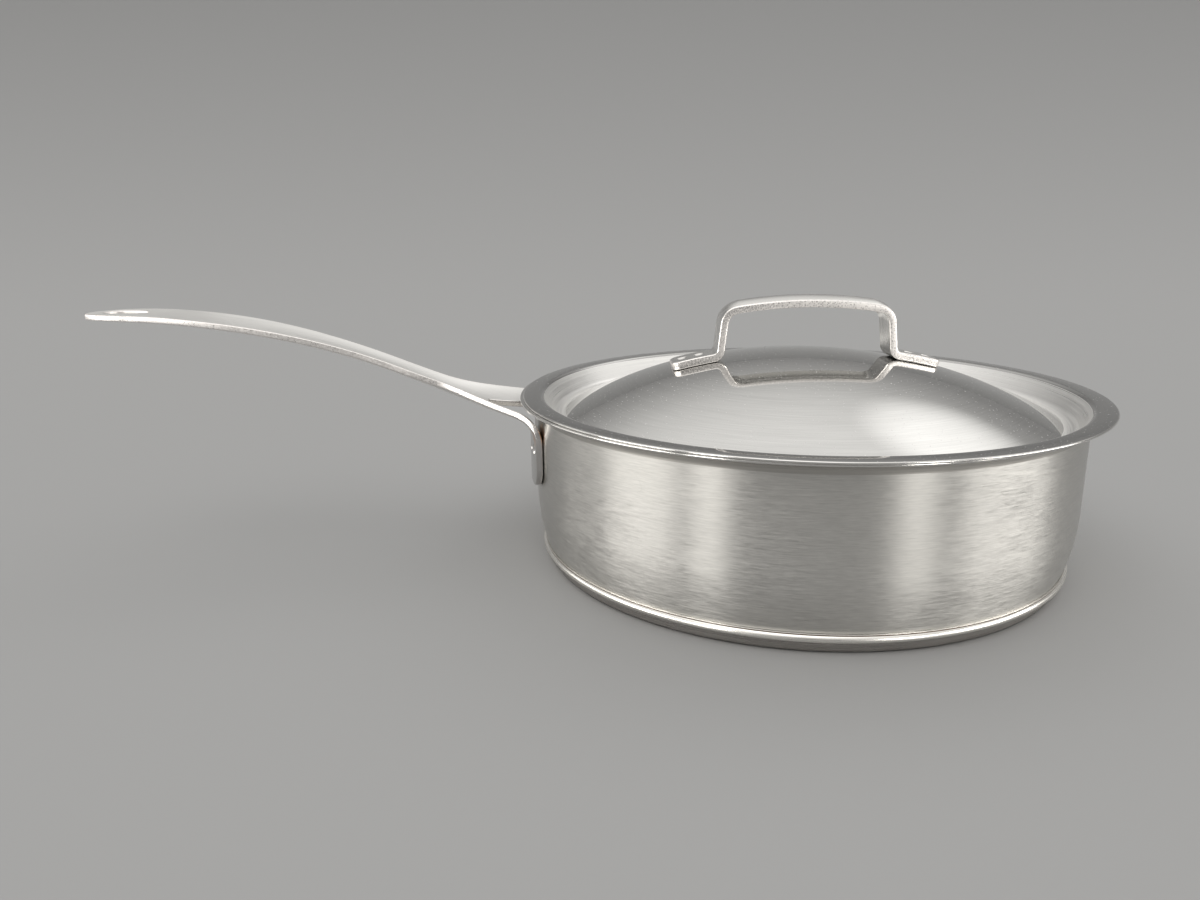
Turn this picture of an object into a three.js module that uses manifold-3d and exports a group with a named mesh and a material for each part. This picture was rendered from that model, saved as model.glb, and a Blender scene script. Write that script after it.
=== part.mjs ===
// A straight-sided saute pan with a domed lid, in millimetres, +Z up.
// The origin is the centre of the base's underside and the long handle runs along -X.
import * as THREE from 'three';
import { mergeVertices } from 'three/addons/utils/BufferGeometryUtils.js';
import Module from 'manifold-3d';

const wasm = await Module();
wasm.setup();

// Pan body
const WALL_DIAMETER = 240; // outside of the upright wall
const WALL_SHEET = 1.2;
const RIM_HEIGHT = 73.5; // top of the pouring lip above the table
const RIM_OVERHANG = 7; // lip beyond the wall
const FLARE_RADIUS = 4.5; // outside of the curve under the lip
const WALL_CURVE_START = 31; // height below which the wall draws in
const WALL_CURVE_RADIUS = 75;
const CORNER_RADIUS = 4.5; // outside of the curve between wall and floor

// Capsule base
const CAP_SHEET = 0.8;
const CORE_THICKNESS = 4;
const CORE_CLEARANCE = 0.5; // core edge to the cap's inner side
const SEAM_HEIGHT = 7.6; // top of the cap's polished ring
const RING_WIDTH = 1.7; // polished ring, beyond the wall at the seam
const RING_ROUND = 2.3; // its shoulder, below the seam
const RING_UNDER = 0.8; // its lower edge
const FOOT_INSET = 3; // foot of the cap's side, in from the ring
const FOOT_RADIUS = 1.6;
const BEAD_WIDTH = 0.35;
const BEAD_HEIGHT = 0.7;

// Long handle
const STRAP_THICKNESS = 2.7;
const FLANGE_BOTTOM = 37; // height of the welded flanges' lower edge
const FLANGE_STRAIGHT = 20.6;
const FLANGE_CORNER = 9; // outer lower corner
const FORK_WIDTH = 67; // over both legs, at the wall
const FORK_OPENING = 30; // between the legs, at the wall
const FORK_DEPTH = 21.5; // opening, from the wall to its tip
const FORK_TIP_RADIUS = 3;
const FORK_DISH = 3.8; // hollow of the strap between the legs
const DISH_LENGTH = 45; // over which it fades into the grip's
const BEND_RADIUS = 13.5; // upper face, where the legs turn down
const NECK_SLOPE = 16; // degrees above level where the legs leave the bend
const NECK_RADIUS = 532;
const NECK_WIDTH = 17.8;
const NECK_LENGTH = 18; // stretch of even width beside the grip
const GRIP_SLOPE = 21.8; // degrees above level where the grip begins
const GRIP_RADIUS = 341;
const GRIP_WIDTH = 32.6;
const GRIP_SWELL = 96; // along the strap, from the neck to the widest place
const GRIP_DISH = 2; // hollow of the grip
const TIP_DROOP = 2.1; // degrees below level at the tip
const TIP_LENGTH = 31; // rounded end
const HOLE_LENGTH = 19;
const HOLE_WIDTH = 12;
const HOLE_EDGE = 7.7; // tip to the hanging hole

// Lid
const LID_SHEET = 1;
const LID_OVERLAP = 0.1; // lid edge beyond the lip
const DOME_RADIUS = 239;
const DOME_RISE = 17; // top of the dome above the flange
const STEP_DRAFT = 35; // degrees of the lid's step from upright
const STEP_CLEARANCE = 3.7; // step to the inside of the wall, where the rim starts to flare
const STEP_ROUND = 2.5; // upper face, between step and flange
const TROUGH_ROUND = 4; // upper face, between dome and step
const LID_SHIFT = 1.7; // the lid lies off the pan's centre, away from the long handle
const LID_FORWARD = 1.2; // and towards -Y

// Lid handle
const BAR_WIDTH = 16;
const BAR_THICKNESS = 3.3;
const BAR_CROWN = 2; // middle of the bar above its edges
const CROWN_FADE = 9; // along the strap, down to the legs
const BAR_CLEARANCE = 20.1; // finger room over the top of the dome, under the bar's edges
const BAR_RADIUS = 200; // arch of the bar, underside
const BAR_HALF_ANGLE = 9; // degrees
const BAR_CORNER = 5; // underside
const LEG_LEAN = 6.4; // degrees from upright
const FOOT_BEND = 6; // underside
const FOOT_LENGTH = 18.7;
const FOOT_CORNER = 4;

// Spot welds
const WELD_DIAMETER = 5;
const WELD_DISH = 0.4; // hollow left in the face
const WELD_CLEARANCE = 0.2;
const FLANGE_WELD_SPACING = 7.4; // across each flange
const FLANGE_WELD_HEIGHT = 16.5; // above the flange's lower edge
const FOOT_WELD_SPACING = 8;

// Gaps and fineness
const SEAT_GAP = 0.3; // between welded faces
const STRAP_CHAMFER = 0.8;
const FACET_DEVIATION = 0.12; // of a profile's flats from its curves
const TURN_SEGMENTS = 44;
const WELD_SEGMENTS = 16;
const STATION_STEP = 8; // along a strap
const STATION_TURN = 15; // degrees of bend between stations
const STRAP_COLUMNS = 6; // across a strap, between its chamfers
const TIP_STEPS = 6;
const CORNER_STEPS = 3;
const TIP_END_ANGLE = 84; // degrees round the tip, where the strap's end face is
const MERGE_DISTANCE = 1e-4;
const SEATING_ROUNDS = 30;
const CUTTER_HEIGHT = 150; // above the table, over the whole handle
const CUTTER_SPARE = 6; // run past the metal

const wallRadius = WALL_DIAMETER / 2;
const innerRadius = wallRadius - WALL_SHEET;
const rimRadius = wallRadius + RIM_OVERHANG;
const shellBottom = CAP_SHEET + CORE_THICKNESS;
const flareHeight = RIM_HEIGHT - WALL_SHEET - FLARE_RADIUS; // where the wall starts to flare
const lidTop = RIM_HEIGHT + LID_SHEET; // upper face of the lid's flange
const domeTop = lidTop + DOME_RISE;
const domeCentre = domeTop - DOME_RADIUS;
const degrees = THREE.MathUtils.degToRad;

const materials = {
  brushedSteel: new THREE.MeshStandardMaterial({ color: 0xb4b2ae, roughness: 0.34, metalness: 1 }),
  lidSteel: new THREE.MeshStandardMaterial({ color: 0xa9a9a8, roughness: 0.26, metalness: 1 }),
  capSteel: new THREE.MeshStandardMaterial({ color: 0xa6a39d, roughness: 0.38, metalness: 1 }),
  polishedSteel: new THREE.MeshStandardMaterial({ color: 0xc9c7c4, roughness: 0.14, metalness: 1 }),
  weldSteel: new THREE.MeshStandardMaterial({ color: 0xbdbab6, roughness: 0.22, metalness: 1 }),
  aluminium: new THREE.MeshStandardMaterial({ color: 0xc4c6c8, roughness: 0.45, metalness: 1 }),
  seamBronze: new THREE.MeshStandardMaterial({ color: 0x6b5541, roughness: 0.5, metalness: 0.8 }),
};

// Points on a round stretch of a profile, from one angle to another, both in radians.
function arc(centreX, centreY, radius, from, to) {
  const step = 2 * Math.acos(1 - Math.min(1, FACET_DEVIATION / radius));
  const steps = Math.ceil(Math.abs(to - from) / step);
  return Array.from({ length: steps + 1 }, (_, i) => {
    const angle = from + ((to - from) * i) / steps;
    return new THREE.Vector2(centreX + radius * Math.cos(angle), centreY + radius * Math.sin(angle));
  });
}

const point = (x, y) => new THREE.Vector2(x, y);
const blend = (share) => (1 - Math.cos(Math.PI * THREE.MathUtils.clamp(share, 0, 1))) / 2;

// Shared vertices merged, faces without area dropped.
function solidOf(geometry) {
  const bare = new THREE.BufferGeometry();
  bare.setAttribute('position', geometry.getAttribute('position'));
  bare.setIndex(geometry.getIndex());
  const merged = mergeVertices(bare, MERGE_DISTANCE);
  const faces = [...merged.getIndex().array];
  const kept = [];
  for (let i = 0; i < faces.length; i += 3) {
    const [a, b, c] = faces.slice(i, i + 3);
    if (a !== b && b !== c && c !== a) kept.push(a, b, c);
  }
  const vertProperties = new Float32Array(merged.getAttribute('position').array);
  const mesh = new wasm.Mesh({ numProp: 3, vertProperties, triVerts: new Uint32Array(kept) });
  mesh.merge();
  return new wasm.Manifold(mesh);
}

function geometryOf(solid) {
  const { vertProperties, triVerts } = solid.getMesh();
  const geometry = new THREE.BufferGeometry();
  geometry.setAttribute('position', new THREE.BufferAttribute(vertProperties, 3));
  geometry.setIndex(new THREE.BufferAttribute(triVerts, 1));
  geometry.computeVertexNormals();
  return geometry;
}

function cut(geometry, cutters) {
  const solid = cutters.reduce((body, cutter) => body.subtract(solidOf(cutter)), solidOf(geometry));
  return geometryOf(solid);
}

function named(name, geometry, material) {
  const mesh = new THREE.Mesh(geometry, material);
  mesh.name = name;
  return mesh;
}

// A profile of radius and height, walked with the metal on its left, turned about Z.
function turned(profile, segments = TURN_SEGMENTS) {
  const geometry = new THREE.LatheGeometry(profile, segments);
  geometry.rotateX(Math.PI / 2);
  return geometry;
}

// Outside radius of the pan's wall at a height above the seam.
function wallRadiusAt(height) {
  const below = Math.max(0, WALL_CURVE_START - height);
  return wallRadius - WALL_CURVE_RADIUS + Math.sqrt(WALL_CURVE_RADIUS ** 2 - below ** 2);
}

const domeHeight = (radius) => domeCentre + Math.sqrt(DOME_RADIUS ** 2 - radius ** 2);

// Drawn bowl: floor, corner, drawn-in wall, upright wall and flared lip, outside first and inside back.
function panShell() {
  const curveCentre = wallRadius - WALL_CURVE_RADIUS;
  const cornerHeight = shellBottom + CORNER_RADIUS;
  const cornerReach = WALL_CURVE_RADIUS - CORNER_RADIUS;
  const turn = Math.asin((WALL_CURVE_START - cornerHeight) / cornerReach);
  const cornerRadius = curveCentre + cornerReach * Math.cos(turn);
  const flareCentre = wallRadius + FLARE_RADIUS;
  const lipRound = WALL_SHEET / 2;
  const down = -Math.PI / 2;
  const side = (sheet) => [
    ...arc(cornerRadius, cornerHeight, CORNER_RADIUS - sheet, down, -turn),
    ...arc(curveCentre, WALL_CURVE_START, WALL_CURVE_RADIUS - sheet, -turn, 0).slice(1),
    ...arc(flareCentre, flareHeight, FLARE_RADIUS + sheet, Math.PI, Math.PI / 2),
  ];
  return turned([
    point(0, shellBottom),
    ...side(0),
    ...arc(rimRadius - lipRound, RIM_HEIGHT - lipRound, lipRound, down, -down),
    ...side(WALL_SHEET).reverse(),
    point(0, shellBottom + WALL_SHEET),
  ]);
}

const seamRadius = wallRadiusAt(SEAM_HEIGHT) + SEAT_GAP; // inside of the cap's mouth
const beadTop = SEAM_HEIGHT + BEAD_HEIGHT;
const beadInside = wallRadiusAt(beadTop) + SEAT_GAP;
const beadOutside = beadInside + BEAD_WIDTH;
const ringRadius = wallRadiusAt(SEAM_HEIGHT) + RING_WIDTH;
const footRadius = ringRadius - FOOT_INSET;
const capInside = footRadius - CAP_SHEET;

// Shallow steel cup under the floor: flat foot, drawn-out side and a rounded polished ring at the seam.
function baseCapsule() {
  const shoulderCentre = ringRadius - RING_ROUND;
  const shoulderTurn = Math.acos((beadOutside - shoulderCentre) / RING_ROUND);
  const ringHeight = SEAM_HEIGHT - RING_ROUND * Math.sin(shoulderTurn);
  const down = -Math.PI / 2;
  return turned([
    point(0, 0),
    ...arc(footRadius - FOOT_RADIUS, FOOT_RADIUS, FOOT_RADIUS, down, 0),
    ...arc(ringRadius - RING_UNDER, ringHeight, RING_UNDER, down, 0),
    ...arc(shoulderCentre, ringHeight, RING_ROUND, 0, shoulderTurn).slice(1),
    point(seamRadius, SEAM_HEIGHT),
    point(capInside, CAP_SHEET),
    point(0, CAP_SHEET),
  ]);
}

function baseCore() {
  const radius = capInside - CORE_CLEARANCE;
  return turned([
    point(0, CAP_SHEET),
    point(radius, CAP_SHEET),
    point(radius, shellBottom),
    point(0, shellBottom),
  ]);
}

// Sealing bead on top of the cap's ring, beside the wall.
function baseSeamBead() {
  const shoulder = BEAD_WIDTH / 2;
  return turned([
    point(beadInside, SEAM_HEIGHT),
    point(beadOutside, SEAM_HEIGHT),
    point(beadOutside, beadTop - shoulder),
    point(beadOutside - shoulder, beadTop),
    point(beadInside, beadTop),
    point(beadInside, SEAM_HEIGHT),
  ]);
}

// Domed lid: dome, trough, leaning step and flange, upper face back after the underside.
function lidShell() {
  const draft = degrees(STEP_DRAFT);
  const lean = Math.sin(draft);
  const rise = Math.cos(draft);
  // Distances along the step's normal give the trough's centre, which lies on a curve round the dome's.
  const stepOutside = (innerRadius - STEP_CLEARANCE) * rise - flareHeight * lean;
  const troughReach = DOME_RADIUS + TROUGH_ROUND;
  const troughOffset = stepOutside - LID_SHEET - TROUGH_ROUND + domeCentre * lean;
  const troughTurn = draft + Math.asin(troughOffset / troughReach);
  const troughRadius = troughReach * Math.sin(troughTurn);
  const troughHeight = domeCentre + troughReach * Math.cos(troughTurn);
  const flangeHeight = lidTop - STEP_ROUND;
  const stepRun = TROUGH_ROUND + STEP_ROUND + (flangeHeight - troughHeight) * lean;
  const flangeCentre = troughRadius + stepRun / rise;
  const edge = rimRadius + LID_OVERLAP - LID_SHEET / 2;
  const up = Math.PI / 2;
  // Both faces are the same curves, a sheet apart: depth 0 is the upper face.
  const face = (depth) => [
    ...arc(0, domeCentre, DOME_RADIUS - depth, up, up - troughTurn).slice(1),
    ...arc(troughRadius, troughHeight, TROUGH_ROUND + depth, up * 3 - troughTurn, up * 4 - draft),
    ...arc(flangeCentre, flangeHeight, STEP_ROUND - depth, up * 2 - draft, up),
  ];
  return turned([
    point(0, domeTop - LID_SHEET),
    ...face(LID_SHEET),
    ...arc(edge, lidTop - LID_SHEET / 2, LID_SHEET / 2, -up, up),
    ...face(0).reverse(),
    point(0, domeTop),
  ]);
}

// A route of [length, turn] stretches in the XZ plane, giving the place and side at a length along it.
function route(start, heading, stretches) {
  const total = stretches.reduce((sum, [length]) => sum + length, 0);
  const at = (distance) => {
    let place = start.clone();
    let angle = heading;
    let left = distance;
    for (const [length, turn] of stretches) {
      const run = Math.min(left, length);
      const bend = (turn * run) / length;
      const chord = bend === 0 ? run : (2 * run * Math.sin(bend / 2)) / bend;
      const along = angle + bend / 2;
      place = place.clone().add(point(chord * Math.cos(along), chord * Math.sin(along)));
      angle += bend;
      left -= run;
    }
    return { place, right: point(Math.sin(angle), -Math.cos(angle)) };
  };
  return { at, total };
}

// Lengths along a route: every stretch cut into even steps, no longer than the given step or turn.
function stations(stretches) {
  const list = [0];
  for (const [length, turn] of stretches) {
    const steps = Math.ceil(Math.max(length / STATION_STEP, Math.abs(turn) / degrees(STATION_TURN)));
    const from = list.at(-1);
    for (let i = 1; i <= steps; i += 1) list.push(from + (length * i) / steps);
  }
  return list;
}

// Shares of a rounded corner's length, from its outer end, at even steps round it.
const cornerShares = Array.from({ length: CORNER_STEPS + 1 }, (_, i) => {
  const angle = (Math.PI * i) / (2 * CORNER_STEPS);
  return 1 - Math.cos(angle);
});

// Places across a strap of the given half width, with the depth that the chamfer takes there.
function columns(halfWidth) {
  const flat = halfWidth - STRAP_CHAMFER;
  const inner = Array.from({ length: STRAP_COLUMNS + 1 }, (_, i) => {
    const share = (2 * i) / STRAP_COLUMNS - 1;
    return [flat * share, 0];
  });
  return [[-halfWidth, STRAP_CHAMFER], ...inner, [halfWidth, STRAP_CHAMFER]];
}

// A closed strap from rows of columns, each column with a point on the upper and on the lower face.
function strap(rows) {
  const positions = [];
  const quad = (a, b, c, d) => [a, b, c, a, c, d].forEach((p) => positions.push(p.x, p.y, p.z));
  const last = rows[0].length - 1;
  for (let i = 0; i + 1 < rows.length; i += 1) {
    const [here, next] = [rows[i], rows[i + 1]];
    for (let j = 0; j < last; j += 1) {
      quad(here[j].upper, here[j + 1].upper, next[j + 1].upper, next[j].upper);
      quad(here[j].lower, next[j].lower, next[j + 1].lower, here[j + 1].lower);
    }
    quad(here[0].lower, here[0].upper, next[0].upper, next[0].lower);
    quad(here[last].upper, here[last].lower, next[last].lower, next[last].upper);
  }
  for (let j = 0; j < last; j += 1) {
    const [first, end] = [rows[0], rows.at(-1)];
    quad(first[j].upper, first[j].lower, first[j + 1].lower, first[j + 1].upper);
    quad(end[j].lower, end[j].upper, end[j + 1].upper, end[j + 1].lower);
  }
  const geometry = new THREE.BufferGeometry();
  geometry.setAttribute('position', new THREE.Float32BufferAttribute(positions, 3));
  return mergeVertices(geometry, MERGE_DISTANCE);
}

const flangeRadius = wallRadius + SEAT_GAP; // face of the flanges that is welded to the wall

// Long handle, followed from the flanges' lower edge, up the wall, round the bend and out to the tip.
function panHandle() {
  const bendTurn = degrees(90 - NECK_SLOPE);
  const neckTurn = degrees(NECK_SLOPE - GRIP_SLOPE);
  const gripTurn = degrees(GRIP_SLOPE + TIP_DROOP);
  const stretches = [
    [FLANGE_STRAIGHT, 0],
    [BEND_RADIUS * bendTurn, bendTurn],
    [NECK_RADIUS * -neckTurn, neckTurn],
    [GRIP_RADIUS * gripTurn, gripTurn],
  ];
  const path = route(point(-flangeRadius, FLANGE_BOTTOM), Math.PI / 2, stretches);
  const bendStart = FLANGE_STRAIGHT;
  const bendEnd = bendStart + stretches[1][0];
  const neckEnd = bendEnd + stretches[2][0];
  const neckStart = neckEnd - NECK_LENGTH;
  const tipStart = path.total - TIP_LENGTH;

  const halfWidth = (distance) => {
    const corner = Math.max(0, FLANGE_CORNER - distance);
    const rounding = FLANGE_CORNER - Math.sqrt(FLANGE_CORNER ** 2 - corner ** 2);
    const fork = (FORK_WIDTH - NECK_WIDTH) / 2;
    const swell = (GRIP_WIDTH - NECK_WIDTH) / 2;
    const forkShare = 1 - blend((distance - bendStart) / (neckStart - bendStart));
    const swellShare = blend((distance - neckEnd) / GRIP_SWELL);
    const tip = Math.max(0, distance - tipStart) / TIP_LENGTH;
    const width = NECK_WIDTH / 2 + fork * forkShare + swell * swellShare - rounding;
    return width * Math.sqrt(1 - tip ** 2);
  };

  // The strap is hollow, most of all in the fork, and its legs follow the round wall from the bend down.
  const row = (distance) => {
    const { place, right } = path.at(distance);
    const half = halfWidth(distance);
    const gripHollow = GRIP_DISH * blend((tipStart - distance) / TIP_LENGTH);
    const forkHollow = (FORK_DISH - GRIP_DISH) * blend((neckEnd - distance) / DISH_LENGTH);
    const faded = (gripHollow + forkHollow) * blend((distance - bendStart) / (bendEnd - bendStart));
    const wrap = blend((neckStart - distance) / (neckStart - bendEnd));
    return columns(half).map(([across, depth]) => {
      const sagitta = wrap * (flangeRadius - Math.sqrt(flangeRadius ** 2 - across ** 2));
      const drop = faded * (1 - (across / half) ** 2);
      const at = (inset) =>
        new THREE.Vector3(place.x - right.x * inset + sagitta, across, place.y - right.y * inset - drop);
      return { upper: at(depth), lower: at(STRAP_THICKNESS - depth) };
    });
  };

  const tipAngles = Array.from({ length: TIP_STEPS }, (_, i) => {
    const share = (i + 1) / TIP_STEPS;
    return degrees(TIP_END_ANGLE * share);
  });
  const spare = STATION_STEP / 2;
  const along = [
    ...cornerShares.map((share) => share * FLANGE_CORNER),
    ...stations(stretches).filter((s) => s > FLANGE_CORNER + spare && s < tipStart - spare),
    tipStart,
    ...tipAngles.map((angle) => tipStart + TIP_LENGTH * Math.sin(angle)),
  ];
  const blank = strap(along.map(row));
  const tip = path.at(path.total).place;
  return cut(blank, [forkOpening(), hangingHole(tip), ...panWelds().map((weld) => weldHole(weld))]);
}

// Upright cutters run from the table to well over the handle.
function uprightCutter(shape) {
  return new THREE.ExtrudeGeometry(shape, {
    depth: CUTTER_HEIGHT,
    bevelEnabled: false,
    curveSegments: TIP_STEPS,
  });
}

// Opening between the legs: even beside the wall, then narrowing to a rounded tip.
function forkOpening() {
  const half = FORK_OPENING / 2;
  const mouth = CUTTER_SPARE - flangeRadius;
  const tipCentre = -(flangeRadius + FORK_DEPTH) + FORK_TIP_RADIUS;
  const taperStart = -(flangeRadius + STRAP_THICKNESS);
  const run = taperStart - tipCentre;
  const spread = Math.atan2(half, run) - Math.asin(FORK_TIP_RADIUS / Math.hypot(half, run));
  const tangent = Math.PI / 2 + spread;
  const shape = new THREE.Shape();
  shape.moveTo(mouth, half);
  shape.lineTo(taperStart, half);
  shape.absarc(tipCentre, 0, FORK_TIP_RADIUS, tangent, 2 * Math.PI - tangent, false);
  shape.lineTo(taperStart, -half);
  shape.lineTo(mouth, -half);
  shape.closePath();
  return uprightCutter(shape);
}

function hangingHole(tip) {
  const round = HOLE_WIDTH / 2;
  const outer = tip.x + HOLE_EDGE + round;
  const inner = tip.x + HOLE_EDGE + HOLE_LENGTH - round;
  const shape = new THREE.Shape();
  shape.absarc(inner, 0, round, -Math.PI / 2, Math.PI / 2, false);
  shape.absarc(outer, 0, round, Math.PI / 2, (3 * Math.PI) / 2, false);
  shape.closePath();
  return uprightCutter(shape);
}

// Places of the handle's welds: two across each flange, on the wall's round.
function panWelds() {
  const legMiddle = (FORK_WIDTH + FORK_OPENING) / 4;
  const height = FLANGE_BOTTOM + FLANGE_WELD_HEIGHT;
  const places = [];
  for (const [side, sign] of [['near', -1], ['far', 1]]) {
    for (const [place, shift] of [['outer', 1], ['inner', -1]]) {
      const across = sign * (legMiddle + (shift * FLANGE_WELD_SPACING) / 2);
      const inward = new THREE.Vector3(Math.sqrt(flangeRadius ** 2 - across ** 2), -across, 0).normalize();
      const seat = inward.clone().multiplyScalar(-flangeRadius).setZ(height);
      const sheet = STRAP_THICKNESS * inward.x; // along the weld's axis
      const axis = inward.clone().negate();
      places.push({ name: `pan_handle_weld_${side}_${place}`, seat, axis, sheet });
    }
  }
  return places;
}

// Places of the lid handle's welds: two along each foot.
function lidWelds() {
  const { foot } = lidHandleRoute();
  const places = [];
  for (const [side, sign] of [['left', -1], ['right', 1]]) {
    for (const [place, shift] of [['inner', -1], ['outer', 1]]) {
      const { place: under, right } = foot.at(FOOT_LENGTH / 2 + (shift * FOOT_WELD_SPACING) / 2);
      const seat = new THREE.Vector3(sign * under.x, 0, under.y);
      const axis = new THREE.Vector3(-sign * right.x, 0, -right.y);
      places.push({ name: `lid_handle_weld_${side}_${place}`, seat, axis, sheet: BAR_THICKNESS });
    }
  }
  return places;
}

function alongAxis(geometry, { seat, axis }) {
  const turn = new THREE.Quaternion().setFromUnitVectors(new THREE.Vector3(0, 0, 1), axis);
  return geometry.applyQuaternion(turn).translate(seat.x, seat.y, seat.z);
}

// Weld nugget: fills its hole in the sheet and leaves a dished face.
function weldNugget(place) {
  const radius = WELD_DIAMETER / 2;
  const profile = [
    point(0, 0),
    point(radius, 0),
    point(radius, place.sheet),
    point(0, place.sheet - WELD_DISH),
  ];
  return alongAxis(turned(profile, WELD_SEGMENTS), place);
}

function weldHole(place) {
  const radius = WELD_DIAMETER / 2 + WELD_CLEARANCE;
  const reach = place.sheet + CUTTER_SPARE;
  const hole = [point(0, -CUTTER_SPARE), point(radius, -CUTTER_SPARE), point(radius, reach), point(0, reach)];
  return alongAxis(turned(hole, WELD_SEGMENTS), place);
}

// Underside of the lid handle's right half, from the middle of the bar to the end of the foot. The leg's
// length is found by seating the middle of the foot on the dome.
function lidHandleRoute() {
  const arch = degrees(BAR_HALF_ANGLE);
  const leg = degrees(90 - LEG_LEAN);
  const start = point(0, domeTop + BAR_CLEARANCE);
  let legLength = BAR_CLEARANCE;
  let slope = 0;
  let stretches;
  let path;
  for (let round = 0; round < SEATING_ROUNDS; round += 1) {
    stretches = [
      [BAR_RADIUS * arch, -arch],
      [BAR_CORNER * (leg - arch), arch - leg],
      [legLength, 0],
      [FOOT_BEND * (leg - slope), leg - slope],
      [FOOT_LENGTH, 0],
    ];
    path = route(start, 0, stretches);
    const middle = path.at(path.total - FOOT_LENGTH / 2).place;
    slope = Math.asin(middle.x / DOME_RADIUS);
    legLength += (middle.y - domeHeight(middle.x) - SEAT_GAP) / Math.sin(leg);
  }
  const footStart = path.total - FOOT_LENGTH;
  return { path, stretches, foot: { at: (distance) => path.at(footStart + distance) } };
}

// Strap handle of the lid: a crowned, arched bar on two leaning legs with welded feet.
function lidHandle() {
  const { path, stretches } = lidHandleRoute();
  const legStart = stretches[0][0] + stretches[1][0];
  const half = BAR_WIDTH / 2;
  const row = (distance, sign) => {
    const { place, right } = path.at(distance);
    const corner = Math.max(0, FOOT_CORNER - (path.total - distance));
    const width = half - FOOT_CORNER + Math.sqrt(FOOT_CORNER ** 2 - corner ** 2);
    const crown = BAR_CROWN * blend((legStart - distance) / CROWN_FADE);
    return columns(width).map(([across, depth]) => {
      const lift = crown * (1 - (across / half) ** 2);
      const at = (height) =>
        new THREE.Vector3(sign * (place.x - right.x * height), across, place.y - right.y * height);
      return { upper: at(BAR_THICKNESS - depth + lift), lower: at(depth + lift) };
    });
  };
  const cornerStart = path.total - FOOT_CORNER;
  const outward = [
    ...stations(stretches).filter((s) => s < cornerStart),
    ...cornerShares.map((share) => path.total - FOOT_CORNER * share).reverse(),
  ];
  const right = outward.map((distance) => row(distance, 1)).reverse();
  const left = outward.slice(1).map((distance) => row(distance, -1));
  const rows = [...right, ...left];
  return cut(strap(rows), lidWelds().map((weld) => weldHole(weld)));
}

const pan = new THREE.Group();
pan.add(named('pan_shell', panShell(), materials.brushedSteel));
pan.add(named('base_core', baseCore(), materials.aluminium));
pan.add(named('base_capsule', baseCapsule(), materials.capSteel));
pan.add(named('base_seam_bead', baseSeamBead(), materials.seamBronze));
pan.add(named('pan_handle', panHandle(), materials.polishedSteel));
panWelds().forEach((weld) => pan.add(named(weld.name, weldNugget(weld), materials.weldSteel)));

const lid = new THREE.Group();
lid.add(named('lid_shell', lidShell(), materials.lidSteel));
lid.add(named('lid_handle', lidHandle(), materials.polishedSteel));
lidWelds().forEach((weld) => lid.add(named(weld.name, weldNugget(weld), materials.weldSteel)));

lid.position.set(LID_SHIFT, -LID_FORWARD, 0);

const model = new THREE.Group();
model.add(pan, lid);

export default model;
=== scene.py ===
"""Looks of a saute pan with lid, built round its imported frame.

Sizes of the pan are in millimetres, and a mesh is turned into metres when it is made. Places and lengths in
the materials, on the stage and of the lamps are in metres, and so is the camera's place.
"""

import math

import bmesh
import bpy
import numpy as np
from mathutils import Matrix, Vector
from mathutils.geometry import delaunay_2d_cdt


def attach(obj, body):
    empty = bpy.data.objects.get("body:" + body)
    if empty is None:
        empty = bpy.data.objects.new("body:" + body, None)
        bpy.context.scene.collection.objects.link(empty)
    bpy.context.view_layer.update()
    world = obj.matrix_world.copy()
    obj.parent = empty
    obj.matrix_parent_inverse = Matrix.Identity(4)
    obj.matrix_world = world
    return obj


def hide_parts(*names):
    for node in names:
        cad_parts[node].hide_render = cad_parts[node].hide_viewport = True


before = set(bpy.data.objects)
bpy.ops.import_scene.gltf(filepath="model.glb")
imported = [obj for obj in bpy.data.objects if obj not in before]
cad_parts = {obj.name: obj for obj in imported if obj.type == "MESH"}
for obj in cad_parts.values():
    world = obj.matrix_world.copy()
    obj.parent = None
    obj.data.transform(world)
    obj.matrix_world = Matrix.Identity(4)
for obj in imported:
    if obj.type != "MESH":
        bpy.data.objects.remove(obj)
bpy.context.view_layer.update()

MM = 0.001
UP = math.pi / 2  # a quarter turn

# Sizes of the pan body
WALL_RADIUS = 120.0
WALL_SHEET = 1.2
RIM_HEIGHT = 73.5
RIM_RADIUS = 127.0
FLARE_RADIUS = 4.5
WALL_CURVE_START = 31.0
WALL_CURVE_RADIUS = 75.0
CORNER_RADIUS = 4.5

# Sizes of the capsule base
CAP_SHEET = 0.8
SHELL_BOTTOM = 4.8
SEAM_HEIGHT = 7.6
RING_WIDTH = 1.7
RING_ROUND = 2.3
RING_UNDER = 0.8
FOOT_INSET = 3.0
FOOT_RADIUS = 1.6
BEAD_WIDTH = 0.35
BEAD_HEIGHT = 0.7
BEAD_REACH = 0.7  # share of the seat gap that the bead fills
BRAZE_SHARE = 0.55  # share of the bead's height that is brown

# Sizes of the long handle
STRAP_THICKNESS = 2.7
FLANGE_BOTTOM = 37.0
FLANGE_STRAIGHT = 20.6
FLANGE_CORNER = 9.0
FORK_WIDTH = 67.0
FORK_OPENING = 30.0
FORK_DEPTH = 21.5
FORK_TIP_RADIUS = 3.0
FORK_DISH = 3.8
DISH_LENGTH = 45.0
BEND_RADIUS = 13.5
NECK_SLOPE = math.radians(16.0)
NECK_RADIUS = 532.0
NECK_WIDTH = 17.8
NECK_LENGTH = 18.0
GRIP_SLOPE = math.radians(21.8)
GRIP_RADIUS = 341.0
GRIP_WIDTH = 32.6
GRIP_SWELL = 96.0
GRIP_DISH = 2.0
TIP_DROOP = math.radians(2.1)
TIP_LENGTH = 31.0
HOLE_LENGTH = 19.0
HOLE_WIDTH = 12.0
HOLE_EDGE = 7.7
LEAST_HALF = 1.0  # half width that the dishing goes by at the very tip

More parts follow.
